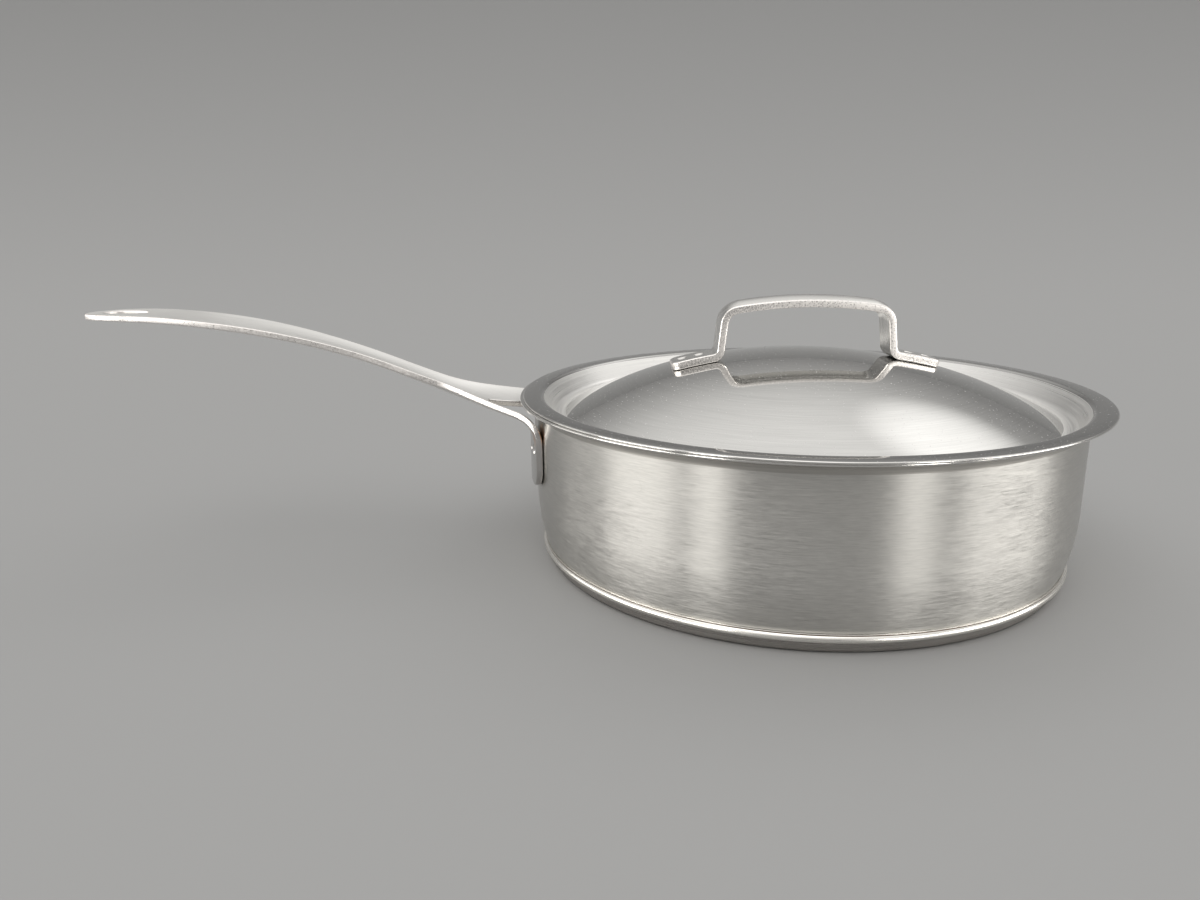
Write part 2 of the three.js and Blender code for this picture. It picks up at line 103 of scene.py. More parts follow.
# Sizes of the lid
LID_SHEET = 1.0
LID_RADIUS = 127.1
LID_TOP = RIM_HEIGHT + LID_SHEET
DOME_RADIUS = 239.0
DOME_RISE = 17.0
DOME_TOP = LID_TOP + DOME_RISE
DOME_CENTRE = DOME_TOP - DOME_RADIUS
STEP_DRAFT = math.radians(35.0)
STEP_CLEARANCE = 3.7
STEP_ROUND = 2.5
TROUGH_ROUND = 4.0
LID_PLACE = (1.7, -1.2)  # the lid lies off the pan's centre

# Sizes of the lid handle
BAR_WIDTH = 16.0
BAR_THICKNESS = 3.3
BAR_CROWN = 2.0
CROWN_FADE = 9.0
BAR_CLEARANCE = 20.1
BAR_RADIUS = 200.0
BAR_HALF_ANGLE = math.radians(9.0)
BAR_CORNER = 5.0
LEG_SLOPE = math.radians(83.6)
FOOT_BEND = 6.0
FOOT_LENGTH = 18.7
FOOT_CORNER = 4.0
FOOT_SETTLE = 0.25  # underside of the feet, down to the dome
SEATING_ROUNDS = 30

# Sizes of the spot welds
WELD_RADIUS = 2.5
WELD_DISH = 0.8
WELD_EDGE = 0.03  # drop of the rim at its edge
# Shares of the weld's radius and of its dish's depth
WELD_SHAPE = [(0, 1), (0.35, 0.97), (0.55, 0.8), (0.75, 0.42), (0.88, 0.12), (0.96, 0.0)]
FLANGE_WELD_SPACING = 7.4
FLANGE_WELD_HEIGHT = 16.5
FOOT_WELD_SPACING = 8.0
SEAT_GAP = 0.3

# Rounded edges and fineness of the meshes
TURN_SEGMENTS = 256
WELD_SEGMENTS = 40
STRAP_ROUND = (0.7, 0.7, 0.5)  # inset of the edge, its rounding from above and from below
BAR_ROUND = (0.6, 0.6, 0.6)
HOLE_ROUND = (0.05, 0.05, 0.05)
BEVEL_STEPS = 6
EDGE_SUPPORT = 0.3  # flat beside a bevel, so that its rounding stays its own
LOOP_STEP = 1.0
BAR_STEP = 0.7
GRID_STEP = 1.6
GRID_MARGIN = 0.45  # share of a grid step that is kept free beside a border
BAR_ROWS = 13
SHARP_ANGLE = math.radians(38)
MITRE_LIMIT = 0.3
TOUCHING = 1e-6
TINY = 1e-12  # stands in for zero where it divides
CORNER_STEPS = 8
CURVE_STEPS = 14
FLARE_STEPS = 12
ROUND_STEPS = 10
BEAD_STEPS = 8
RING_STEPS = 6
DOME_STEPS = 60
SLOT_STEPS = 28
TIP_POINTS = 48
CORNER_POINTS = 12
TABLE_POINTS = 2000
SWEEP_POINTS = 32

# Camera, fitted to the photograph: 900 pixels of focal length on a frame of 1200 x 900
CAMERA_PLACE = Vector((-0.0910, -0.4065, 0.1532))
CAMERA_PITCH = math.radians(14.8)
CAMERA_ROLL = math.radians(-0.66)
CAMERA_LENS = 27.0
CAMERA_SENSOR = 36.0
CAMERA_NEAR = 0.01

# Sizes that follow from others
FLANGE_RADIUS = WALL_RADIUS + SEAT_GAP
INNER_RADIUS = WALL_RADIUS - WALL_SHEET
FLARE_HEIGHT = RIM_HEIGHT - WALL_SHEET - FLARE_RADIUS


def wall_radius_at(height):
    below = max(0.0, WALL_CURVE_START - height)
    return WALL_RADIUS - WALL_CURVE_RADIUS + math.sqrt(WALL_CURVE_RADIUS**2 - below**2)


RING_RADIUS = wall_radius_at(SEAM_HEIGHT) + RING_WIDTH
FOOT_EDGE = RING_RADIUS - FOOT_INSET
BEAD_INSIDE = wall_radius_at(SEAM_HEIGHT + BEAD_HEIGHT) + SEAT_GAP
BEAD_OUTSIDE = BEAD_INSIDE + BEAD_WIDTH


# Materials, whose places and lengths are in metres
BRUSH_LOW, BRUSH_HIGH = 0.3, 0.7  # noise that counts as the depth and the height of the brushing
BRUSH_TURN = 0.25
BUMP_DISTANCE = 0.0001
GRAIN_SCALE = 1300.0
SMUDGE_SCALE = 22.0
SMUDGE_DETAIL = 3.0
SMUDGE_LOW, SMUDGE_HIGH = 0.35, 0.7
HAIR_SCALE = 16.0
HAIR_STRETCH = (1.0, 1.0, 2.2)
HAIR_THIN = 0.0016
HAIR_BREAK_SCALE = 2.3
HAIR_BREAK = 0.57
LARGE_SPECKS = (210.0, 0.06)  # cells to a metre, and reach in cells
SMALL_SPECKS = (430.0, 0.09)
SPECK_LEAST = 0.3
SPECK_FAINTEST = 0.25
DUST_COLOUR = (0.74, 0.73, 0.71, 1)
DUST_ROUGHNESS = 0.75
DUST_COVER = 0.8
# Heat tint by the long handle's bend, partly a painted reflection of the handle's edge in the wall
TINT_PLACE = (-0.1165, 0.031, 0.061)
TINT_REACH = 0.0065
TINT_SCALE = 420.0
TINT_FULL, TINT_NONE = 0.7, 1.5  # in reaches
TINT_STRAW = (0.62, 0.30, 0.11, 1)
TINT_BROWN = (0.20, 0.09, 0.04, 1)
TINT_POWER = 4.0


def add(tree, kind, inputs=None, **settings):
    """A new shader node. Inputs are values or sockets, by the name or number of what takes them."""
    made = tree.nodes.new("ShaderNode" + kind)
    for key, value in settings.items():
        setattr(made, key, value)
    for key, value in (inputs or {}).items():
        if isinstance(value, bpy.types.NodeSocket):
            tree.links.new(value, made.inputs[key])
        else:
            made.inputs[key].default_value = value
    return made


def maths(tree, operation, first, second=0.0):
    return add(tree, "Math", {0: first, 1: second}, operation=operation).outputs[0]


def scaled(tree, vector, factors):
    return add(tree, "VectorMath", {0: vector, 1: factors}, operation="MULTIPLY").outputs[0]


def fitted(tree, value, low, high, to_low, to_high):
    inputs = {"Value": value, 1: low, 2: high, 3: to_low, 4: to_high}
    return add(tree, "MapRange", inputs, clamp=True).outputs[0]


def mixed(tree, share, first, second):
    return add(tree, "Mix", {0: share, 6: first, 7: second}, data_type="RGBA").outputs[2]


def noise(tree, vector, scale, detail=2.0, roughness=0.55):
    inputs = {"Vector": vector, "Scale": scale, "Detail": detail, "Roughness": roughness}
    return add(tree, "TexNoise", inputs).outputs[0]


def attribute(tree, name):
    return add(tree, "Attribute", attribute_name=name).outputs["Fac"]


def object_place(tree):
    return add(tree, "TexCoord").outputs["Object"]


def round_streaks(tree, turns, lines):
    """Lines that run round the turned axis: turns sets how short they are, lines how many to a metre."""
    flat = scaled(tree, object_place(tree), (1, 1, 0))
    heading = add(tree, "VectorMath", {0: flat}, operation="NORMALIZE")
    level = add(tree, "CombineXYZ", {2: maths(tree, "MULTIPLY", attribute(tree, "across"), lines)})
    around = scaled(tree, heading.outputs[0], (turns, turns, 0))
    place = add(tree, "VectorMath", {0: around, 1: level.outputs[0]}, operation="ADD")
    return noise(tree, place.outputs[0], 1.0)


def strap_streaks(tree, lengths, lines):
    """Lines that run along a strap."""
    along = maths(tree, "MULTIPLY", attribute(tree, "along"), lengths)
    across = maths(tree, "MULTIPLY", attribute(tree, "across"), lines)
    return noise(tree, add(tree, "CombineXYZ", {0: along, 1: across}).outputs[0], 1.0)


def specks(tree, cell, share, size):
    """Specks of dust, as seen from above: a share of the cells, of that many to a metre, hold one."""
    found = add(tree, "TexVoronoi", {"Vector": object_place(tree), "Scale": cell}, voronoi_dimensions="2D")
    tint = add(tree, "SeparateColor", {0: found.outputs["Color"]})
    reach = fitted(tree, tint.outputs[1], 0.0, 1.0, size * SPECK_LEAST, size)
    near = maths(tree, "LESS_THAN", found.outputs["Distance"], reach)
    held = maths(tree, "MULTIPLY", near, maths(tree, "LESS_THAN", tint.outputs[0], share))
    return maths(tree, "MULTIPLY", held, fitted(tree, tint.outputs[2], 0.0, 1.0, SPECK_FAINTEST, 1.0))


def scratches(tree, scale, stretch, thin):
    """Hairlines: the level lines of a slow noise, broken by another."""
    place = scaled(tree, object_place(tree), stretch)
    level = maths(tree, "ABSOLUTE", maths(tree, "SUBTRACT", noise(tree, place, scale, 1.0), 0.5))
    line = maths(tree, "LESS_THAN", level, thin)
    cut = noise(tree, object_place(tree), scale * HAIR_BREAK_SCALE, 1.0)
    broken = maths(tree, "GREATER_THAN", cut, HAIR_BREAK)
    return maths(tree, "MULTIPLY", line, broken)


def heat_tint_and_reflection(tree):
    """Where welding coloured the steel, partly a painted reflection of the handle's edge: between the long
    handle's bend and the wall, on both sides.
    """
    place = add(tree, "SeparateXYZ", {0: object_place(tree)})
    side = maths(tree, "ABSOLUTE", place.outputs[1])
    mirrored = add(tree, "CombineXYZ", {0: place.outputs[0], 1: side, 2: place.outputs[2]}).outputs[0]
    away = add(tree, "VectorMath", {0: mirrored, 1: TINT_PLACE}, operation="DISTANCE").outputs["Value"]
    ragged = maths(tree, "MULTIPLY", noise(tree, object_place(tree), TINT_SCALE), TINT_REACH)
    spread = maths(tree, "ADD", away, ragged)
    return fitted(tree, spread, TINT_REACH * TINT_FULL, TINT_REACH * TINT_NONE, 1.0, 0.0)


def steel(
    name,
    colour,
    roughness,
    streaks,
    anisotropic=0.0,
    spread=0.08,
    tone=0.12,
    bump=0.12,
    dust=0.0,
    hair=0.0,
    grain=0.0,
    heat_and_reflection=False,
    polish_and_shade=None,
):
    """Bare steel. Streaks are (kind, length, lines) layers, coarse first, that set its brushing.

    The last argument is (start, end, share, shade), with the first two in millimetres along a strap. Before
    the start, the roughness is multiplied by the share, for polish, and the colour by the shade, which is
    painted shade; past the end neither is.
    """
    material = bpy.data.materials.new(name)
    material.use_nodes = True
    tree = material.node_tree
    shader = tree.nodes["Principled BSDF"]
    shader.inputs["Metallic"].default_value = 1.0
    layers = [kind(tree, length, lines) for kind, length, lines in streaks]
    brush = layers[0]
    for layer in layers[1:]:
        brush = maths(tree, "MULTIPLY", maths(tree, "ADD", brush, layer), 0.5)
    if grain:
        pitted = noise(tree, object_place(tree), GRAIN_SCALE)
        brush = add(tree, "Mix", {0: grain, 2: brush, 3: pitted}).outputs[0]
    smudge = noise(tree, object_place(tree), SMUDGE_SCALE, SMUDGE_DETAIL)
    rough = fitted(tree, brush, BRUSH_LOW, BRUSH_HIGH, roughness - spread, roughness + spread)
    smear = fitted(tree, smudge, SMUDGE_LOW, SMUDGE_HIGH, -spread / 3, spread / 2)
    rough = maths(tree, "ADD", rough, smear)
    dark = [c * (1 - tone) for c in colour] + [1]
    light = [min(1, c * (1 + tone)) for c in colour] + [1]
    paint = mixed(tree, fitted(tree, brush, BRUSH_LOW, BRUSH_HIGH, 0, 1), dark, light)
    if polish_and_shade:
        start, end, share, shade = polish_and_shade
        worked = fitted(tree, attribute(tree, "along"), start * MM, end * MM, 0.0, 1.0)
        rough = maths(tree, "MULTIPLY", rough, fitted(tree, worked, 0.0, 1.0, share, 1.0))
        # before the start the colour is darkened by the shade: painted shade
        paint = mixed(tree, worked, [c * shade for c in colour] + [1], paint)
    if heat_and_reflection:
        tint = heat_tint_and_reflection(tree)
        # straw to brown heat tint, partly a painted reflection of the handle's edge
        paint = mixed(tree, tint, paint, TINT_STRAW)
        paint = mixed(tree, maths(tree, "POWER", tint, TINT_POWER), paint, TINT_BROWN)
    if hair:
        worn = scratches(tree, HAIR_SCALE, HAIR_STRETCH, HAIR_THIN)
        rough = maths(tree, "ADD", rough, maths(tree, "MULTIPLY", worn, hair))
    if dust:
        large, small = (specks(tree, cell, dust, size) for cell, size in (LARGE_SPECKS, SMALL_SPECKS))
        speck = maths(tree, "MAXIMUM", large, small)
        paint = mixed(tree, speck, paint, DUST_COLOUR)
        rough = maths(tree, "MAXIMUM", rough, maths(tree, "MULTIPLY", speck, DUST_ROUGHNESS))
        clean = maths(tree, "SUBTRACT", 1.0, maths(tree, "MULTIPLY", speck, DUST_COVER))
        tree.links.new(clean, shader.inputs["Metallic"])
    tree.links.new(paint, shader.inputs["Base Color"])
    tree.links.new(rough, shader.inputs["Roughness"])
    if anisotropic:
        shader.inputs["Anisotropic"].default_value = anisotropic
        shader.inputs["Anisotropic Rotation"].default_value = BRUSH_TURN
        if streaks[0][0] is round_streaks:
            way = add(tree, "Tangent", direction_type="RADIAL", axis="Z")
        else:
            way = add(tree, "Tangent", direction_type="UV_MAP", uv_map="strap")
        tree.links.new(way.outputs[0], shader.inputs["Tangent"])
    if bump:
        raised = add(tree, "Bump", {"Strength": bump, "Distance": BUMP_DISTANCE, "Height": brush})
        tree.links.new(raised.outputs[0], shader.inputs["Normal"])
    return material


ROUND_COARSE = (round_streaks, 2.6, 1300.0)
ROUND_FINE = (round_streaks, 6.0, 4600.0)
ROUND_SHORT = (round_streaks, 13.0, 1700.0)
ROUND_HAIR = (round_streaks, 32.0, 4200.0)
ROUND_LONG = (round_streaks, 1.2, 2000.0)
STRAP_COARSE = (strap_streaks, 20.0, 1300.0)
STRAP_FINE = (strap_streaks, 45.0, 4600.0)

WALL = steel(
    "wall_brushed",
    (0.58, 0.57, 0.545),
    0.39,
    [ROUND_SHORT, ROUND_HAIR],
    anisotropic=0.88,
    spread=0.1,
    tone=0.14,
    bump=0.17,
    hair=0.1,
    heat_and_reflection=True,
)
INSIDE = steel(
    "inside_satin", (0.60, 0.59, 0.57), 0.30, [ROUND_COARSE, ROUND_FINE], anisotropic=0.6, hair=0.12
)
# Underside of the rim's flare: the wall's brushed steel painted darker, as painted shade under the rim
RIM_UNDER_SHADED = steel(
    "rim_under_painted_shade", (0.44, 0.425, 0.40), 0.34, [ROUND_COARSE, ROUND_FINE], anisotropic=0.8
)
RIM = steel("rim_polished", (0.66, 0.65, 0.63), 0.14, [ROUND_FINE], spread=0.04, tone=0.05, bump=0.05)
# The cap's satin side: a darker steel, painted darker still as painted shade near the floor
CAP_SIDE_SHADED = steel("cap_satin_painted_shade", (0.45, 0.43, 0.41), 0.30, [ROUND_COARSE, ROUND_FINE], anisotropic=0.6)
# The cap's polished ring and the bead's upper rounding: steel painted far lighter than the cap's side, a
# painted highlight
CAP_RING_LIT = steel("cap_polished_painted_highlight", (0.80, 0.78, 0.74), 0.27, [ROUND_FINE], spread=0.04, tone=0.05, bump=0.05)
LID = steel(
    "lid_brushed",
    (0.61, 0.605, 0.59),
    0.05,
    [ROUND_COARSE, ROUND_FINE],
    anisotropic=0.3,
    spread=0.02,
    tone=0.08,
    bump=0.04,
    dust=0.4,
    hair=0.14,
)
# The lid's step: the lid's steel painted far lighter, as painted light standing in for the sheen the step
# catches
LID_STEP_PAINTED_LIGHT = steel(
    "lid_step_painted_light",
    (0.87, 0.86, 0.84),
    0.38,
    [ROUND_LONG],
    anisotropic=0.3,
    spread=0.1,
    tone=0.06,
    bump=0.03,
    dust=0.3,
)
# The lid's flat ring: the lid's steel painted darker, a painted dark reflection
LID_RING_PAINTED_SHADE = steel(
    "lid_ring_painted_shade",
    (0.47, 0.465, 0.455),
    0.08,
    [ROUND_LONG, ROUND_FINE],
    anisotropic=0.3,
    spread=0.03,
    tone=0.1,
    bump=0.04,
    dust=0.4,
    hair=0.1,
)
# Where the long handle's polished flange ends and its satin grip starts, then the flange's share and shade;
# the shade darkens its colour as painted shade
TAB_POLISH_AND_SHADE = (0.8 * FLANGE_STRAIGHT, 2.0 * FLANGE_STRAIGHT, 0.4, 0.6)
STRAP = steel(
    "strap_satin",
    (0.80, 0.79, 0.77),
    0.36,
    [STRAP_COARSE, STRAP_FINE],
    anisotropic=0.5,
    spread=0.06,
    tone=0.06,
    hair=0.1,
    heat_and_reflection=True,
    polish_and_shade=TAB_POLISH_AND_SHADE,
)
BAR = steel(
    "bar_satin",
    (0.68, 0.67, 0.65),
    0.23,
    [STRAP_COARSE, STRAP_FINE],
    anisotropic=0.6,
    spread=0.06,
    tone=0.08,
    hair=0.1,
)
STRAP_EDGE = steel(
    "strap_edge_ground",
    (0.84, 0.81, 0.785),
    0.36,
    [STRAP_FINE],
    spread=0.14,
    tone=0.08,
    bump=0.2,
    grain=0.7,
    polish_and_shade=TAB_POLISH_AND_SHADE,
)
BAR_EDGE = steel(
    "bar_edge_ground", (0.84, 0.81, 0.785), 0.32, [STRAP_FINE], spread=0.16, tone=0.12, bump=0.35, grain=0.8
)
WELD = steel("weld_pressed", (0.76, 0.74, 0.72), 0.09, [STRAP_FINE], spread=0.05, tone=0.08, bump=0.05)
CORE = steel("core_aluminium", (0.66, 0.67, 0.68), 0.42, [ROUND_FINE])
BRAZE = steel("seam_braze", (0.16, 0.10, 0.06), 0.45, [ROUND_COARSE], tone=0.3)


# Mesh helpers


def piece(name, points, faces, slots, materials, numbers=None, origin=(0, 0, 0)):
    """A smooth closed mesh from points in millimetres, with a material slot for each face."""
    mesh = bpy.data.meshes.new(name)
    mesh.from_pydata((np.asarray(points) - np.asarray(origin)) * MM, [], faces)
    for material in materials:
        mesh.materials.append(material)
    mesh.polygons.foreach_set("material_index", slots)
    for key, values in (numbers or {}).items():
        held = mesh.attributes.new(key, "FLOAT", "POINT")
        held.data.foreach_set("value", np.asarray(values, np.float32) * MM)
    if numbers and "along" in numbers:
        corners = np.empty(len(mesh.loops), int)
        mesh.loops.foreach_get("vertex_index", corners)
        lengths = np.stack([numbers["along"], numbers["across"]], 1)[corners] * MM
        mesh.uv_layers.new(name="strap").uv.foreach_set("vector", lengths.astype(np.float32).ravel())
    work = bmesh.new()
    work.from_mesh(mesh)
    bmesh.ops.recalc_face_normals(work, faces=work.faces)
    work.to_mesh(mesh)
    work.free()
    mesh.shade_smooth()
    mesh.set_sharp_from_angle(angle=SHARP_ANGLE)
    made = bpy.data.objects.new(name, mesh)
    made.location = Vector(origin) * MM
    bpy.context.scene.collection.objects.link(made)
    return made


def fit(made, body, slot, *nodes):
    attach(made, body)
    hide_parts(*nodes)
    return made


def arc(centre, radius, start, end, steps):
    turn = np.linspace(start, end, steps + 1)
    return [(centre[0] + radius * math.cos(t), centre[1] + radius * math.sin(t)) for t in turn]


def turned(name, runs, materials, centre=(0.0, 0.0), segments=TURN_SEGMENTS):
    """Runs of (slot, [(radius, height), ...]) follow each other as one profile, which is turned about Z."""
    profile, slots = [], []
    for slot, run in runs:
        for spot in run:
            if profile and math.dist(profile[-1], spot) < TOUCHING:
                continue
            if profile:
                slots.append(slot)
            profile.append(spot)
    closed = math.dist(profile[0], profile[-1]) < TOUCHING
    if closed:
        profile.pop()
    lengths = np.concatenate([[0], np.cumsum([math.dist(a, b) for a, b in zip(profile, profile[1:])])])
    angles = np.arange(segments) * 2 * math.pi / segments
    points, across, rings = [], [], []
    for (radius, height), length in zip(profile, lengths):
        first = len(points)
        if radius < TOUCHING:
            points.append((*centre, height))
            rings.append([first] * segments)
        else:
            points.extend(
                (centre[0] + radius * math.cos(a), centre[1] + radius * math.sin(a), height) for a in angles
            )
            rings.append(list(range(first, first + segments)))
        across.extend([length] * (len(points) - first))
    faces, face_slots = [], []
    pairs = list(zip(rings, rings[1:] + (rings[:1] if closed else [])))
    for (here, there), slot in zip(pairs, slots):
        for i in range(segments):
            j = (i + 1) % segments
            corners = list(dict.fromkeys([here[i], here[j], there[j], there[i]]))
            faces.append(corners)
            face_slots.append(slot)
    return piece(name, points, faces, face_slots, materials, {"across": across}, (*centre, 0))


def inside(points, loop):
    """Which points lie inside a closed loop."""
    x, y = points[:, :1], points[:, 1:]
    ax, ay = loop[:, 0], loop[:, 1]
    bx, by = np.roll(ax, -1), np.roll(ay, -1)
    rise = np.where(by == ay, TINY, by - ay)
    crossed = ((ay > y) != (by > y)) & (x < (bx - ax) * (y - ay) / rise + ax)
    return crossed.sum(1) % 2 == 1


def inset(loop, distance):
    """The loop moved to its left by a distance, with mitred corners."""
    ahead = np.roll(loop, -1, 0) - loop
    ahead /= np.linalg.norm(ahead, axis=1)[:, None]
    normal = np.stack([-ahead[:, 1], ahead[:, 0]], 1)
    before = np.roll(normal, 1, 0)
    bend = 1 + (normal * before).sum(1)
    return loop + distance * (normal + before) / np.maximum(bend, MITRE_LIMIT)[:, None]


def plate(name, loops, grid, place, thickness, materials):
    """A bent sheet. Loops are (points, rounding) along and across it, with the metal on their left.

    The outline is the first loop, and the rest are holes. Place carries points along, across and down from
    the upper face into space.
    """
    points, faces, slots, flat = [], [], [], []

    def put(spots, depth):
        first = len(points)
        points.extend(place(spots[:, 0], spots[:, 1], np.full(len(spots), depth)))
        flat.extend(spots)
        return np.arange(first, first + len(spots))

    rims = {0.0: [], thickness: []}
    borders = []
    for loop, (bevel, drop, lift) in loops:
        turn = np.linspace(0, UP, BEVEL_STEPS + 1)
        sides = [(bevel * (1 - math.sin(t)), 1 - math.cos(t)) for t in turn]
        sides.insert(0, (bevel + EDGE_SUPPORT, 0.0))
        steps = [(d, drop * share) for d, share in sides]
        steps += [(d, thickness - lift * share) for d, share in reversed(sides)]
        rings = [put(inset(loop, d), depth) for d, depth in steps]
        last = len(rings) - 2
        for k, (here, there) in enumerate(zip(rings, rings[1:])):
            for i in range(len(loop)):
                j = (i + 1) % len(loop)
                faces.append([here[i], here[j], there[j], there[i]])
                slots.append(0 if k in (0, last) else 1)
        rims[0.0].append(rings[0])
        rims[thickness].append(rings[-1])
        borders.append(inset(loop, bevel + EDGE_SUPPORT))
    around = np.concatenate(borders)
    held = inside(grid, borders[0])
    for hole in borders[1:]:
        held &= ~inside(grid, hole)
    near = np.min(np.linalg.norm(grid[:, None] - around[None], axis=2), axis=1)
    grid = grid[held & (near > GRID_MARGIN * GRID_STEP)]
    spots = [Vector(p) for p in np.concatenate([around, grid])]
    edges, first = [], 0
    for border in borders:
        edges += [(first + i, first + (i + 1) % len(border)) for i in range(len(border))]
        first += len(border)
    found = delaunay_2d_cdt(spots, edges, [], 0, TOUCHING)
    source = [origins[0] for origins in found[3]]
    triangles = np.array([[source[v] for v in face] for face in found[2]])
    middles = np.concatenate([around, grid])[triangles].mean(1)
    held = inside(middles, borders[0])
    for hole in borders[1:]:
        held &= ~inside(middles, hole)
    for depth, rings in rims.items():
        numbers = np.concatenate(rings + [put(grid, depth)])
        faces.extend(numbers[triangles[held]].tolist())
        slots.extend([0] * int(held.sum()))
    flat = np.array(flat)
    return piece(name, points, faces, slots, materials, {"along": flat[:, 0], "across": flat[:, 1]})


def route(start, heading, stretches):
    """Places and headings along [length, turn] stretches in the XZ plane."""

    def at(distance):
        left = np.asarray(distance, float)
        x, z, angle = (np.full(left.shape, v) for v in (*start, heading))
        for length, turn in stretches:
            run = np.clip(left, 0, length)
            bend = turn * run / length
            half = np.where(bend == 0, TINY, bend / 2)
            chord = run * np.sin(half) / half
            x = x + chord * np.cos(angle + bend / 2)
            z = z + chord * np.sin(angle + bend / 2)
            angle = angle + bend
            left = left - run
        return x, z, angle

    return at, sum(length for length, _ in stretches)


def blend(share):
    return (1 - np.cos(math.pi * np.clip(share, 0, 1))) / 2


def along_line(start, end, step=LOOP_STEP):
    count = max(1, math.ceil(math.dist(start, end) / step))
    return [tuple(np.array(start) + (np.array(end) - np.array(start)) * i / count) for i in range(count)]


def circle(centre, radius, count):
    """A hole's loop, with the metal on its left."""
    turn = -np.arange(count) * 2 * math.pi / count
    return np.stack([centre[0] + radius * np.cos(turn), centre[1] + radius * np.sin(turn)], 1)


# Pan body


def pan_body():
    curve = (WALL_RADIUS - WALL_CURVE_RADIUS, WALL_CURVE_START)
    corner_height = SHELL_BOTTOM + CORNER_RADIUS
    reach = WALL_CURVE_RADIUS - CORNER_RADIUS
    turn = math.asin((WALL_CURVE_START - corner_height) / reach)
    corner = (curve[0] + reach * math.cos(turn), corner_height)
    flare = (WALL_RADIUS + FLARE_RADIUS, FLARE_HEIGHT)
    lip = WALL_SHEET / 2

    def side(sheet):
        wall = arc(corner, CORNER_RADIUS - sheet, -UP, -turn, CORNER_STEPS)
        wall += arc(curve, WALL_CURVE_RADIUS - sheet, -turn, 0, CURVE_STEPS)
        return wall, arc(flare, FLARE_RADIUS + sheet, math.pi, UP, FLARE_STEPS)

    outer, under_lip = side(0)
    inner, over_lip = side(WALL_SHEET)
    rounded = arc((RIM_RADIUS - lip, RIM_HEIGHT - lip), lip, -UP, UP, ROUND_STEPS)
    runs = [
        (0, [(0, SHELL_BOTTOM)] + outer + under_lip[:1]),
        # the flare's underside takes the darker steel, painted shade
        (3, under_lip),
        (1, under_lip[-1:] + rounded + over_lip[::-1]),
        (2, over_lip[:1] + inner[::-1] + [(0, SHELL_BOTTOM + WALL_SHEET)]),
    ]
    return turned("pan_body", runs, [WALL, RIM, INSIDE, RIM_UNDER_SHADED])


def capsule_cap():
    foot = arc((FOOT_EDGE - FOOT_RADIUS, FOOT_RADIUS), FOOT_RADIUS, -UP, 0, CORNER_STEPS)
    shoulder = math.acos((BEAD_OUTSIDE - RING_RADIUS + RING_ROUND) / RING_ROUND)
    ring_height = SEAM_HEIGHT - RING_ROUND * math.sin(shoulder)
    ring = arc((RING_RADIUS - RING_UNDER, ring_height), RING_UNDER, -UP, 0, RING_STEPS)
    ring += arc((RING_RADIUS - RING_ROUND, ring_height), RING_ROUND, 0, shoulder, ROUND_STEPS)
    mouth = [(wall_radius_at(SEAM_HEIGHT) + SEAT_GAP, SEAM_HEIGHT)]
    within = [(FOOT_EDGE - CAP_SHEET, CAP_SHEET), (0, CAP_SHEET)]
    # the ring is painted lighter and the side darker: painted highlight and painted shade
    runs = [(0, [(0, 0)] + foot + ring[:1]), (1, ring + mouth), (0, mouth + within)]
    return turned("capsule_cap", runs, [CAP_SIDE_SHADED, CAP_RING_LIT])


def seam_line():
    within = BEAD_INSIDE - SEAT_GAP * BEAD_REACH
    top = SEAM_HEIGHT + BEAD_HEIGHT
    middle = SEAM_HEIGHT + BEAD_HEIGHT * BRAZE_SHARE
    lip = (top - middle) / 2
    brown = [(within, SEAM_HEIGHT), (BEAD_OUTSIDE, SEAM_HEIGHT), (BEAD_OUTSIDE, middle)]
    bright = brown[-1:] + arc((BEAD_OUTSIDE, middle + lip), lip, -UP, UP, BEAD_STEPS) + [(within, top)]
    runs = [(0, brown), (1, bright), (0, [(within, top), (within, SEAM_HEIGHT)])]
    return turned("seam_line", runs, [BRAZE, CAP_RING_LIT])


# Long handle

HANDLE_STRETCHES = [
    (FLANGE_STRAIGHT, 0.0),
    (BEND_RADIUS * (UP - NECK_SLOPE), UP - NECK_SLOPE),
    (NECK_RADIUS * (GRIP_SLOPE - NECK_SLOPE), NECK_SLOPE - GRIP_SLOPE),
    (GRIP_RADIUS * (GRIP_SLOPE + TIP_DROOP), GRIP_SLOPE + TIP_DROOP),
]
handle_at, HANDLE_LENGTH = route((-FLANGE_RADIUS, FLANGE_BOTTOM), UP, HANDLE_STRETCHES)
BEND_START = FLANGE_STRAIGHT
BEND_END = BEND_START + HANDLE_STRETCHES[1][0]
NECK_END = BEND_END + HANDLE_STRETCHES[2][0]
NECK_START = NECK_END - NECK_LENGTH
TIP_START = HANDLE_LENGTH - TIP_LENGTH


def handle_half(distance):
    corner = np.clip(FLANGE_CORNER - distance, 0, FLANGE_CORNER)
    rounding = FLANGE_CORNER - np.sqrt(FLANGE_CORNER**2 - corner**2)
    fork = (FORK_WIDTH - NECK_WIDTH) / 2 * (1 - blend((distance - BEND_START) / (NECK_START - BEND_START)))
    swell = (GRIP_WIDTH - NECK_WIDTH) / 2 * blend((distance - NECK_END) / GRIP_SWELL)
    tip = np.clip((distance - TIP_START) / TIP_LENGTH, 0, 1)
    return (NECK_WIDTH / 2 + fork + swell - rounding) * np.sqrt(1 - tip**2)


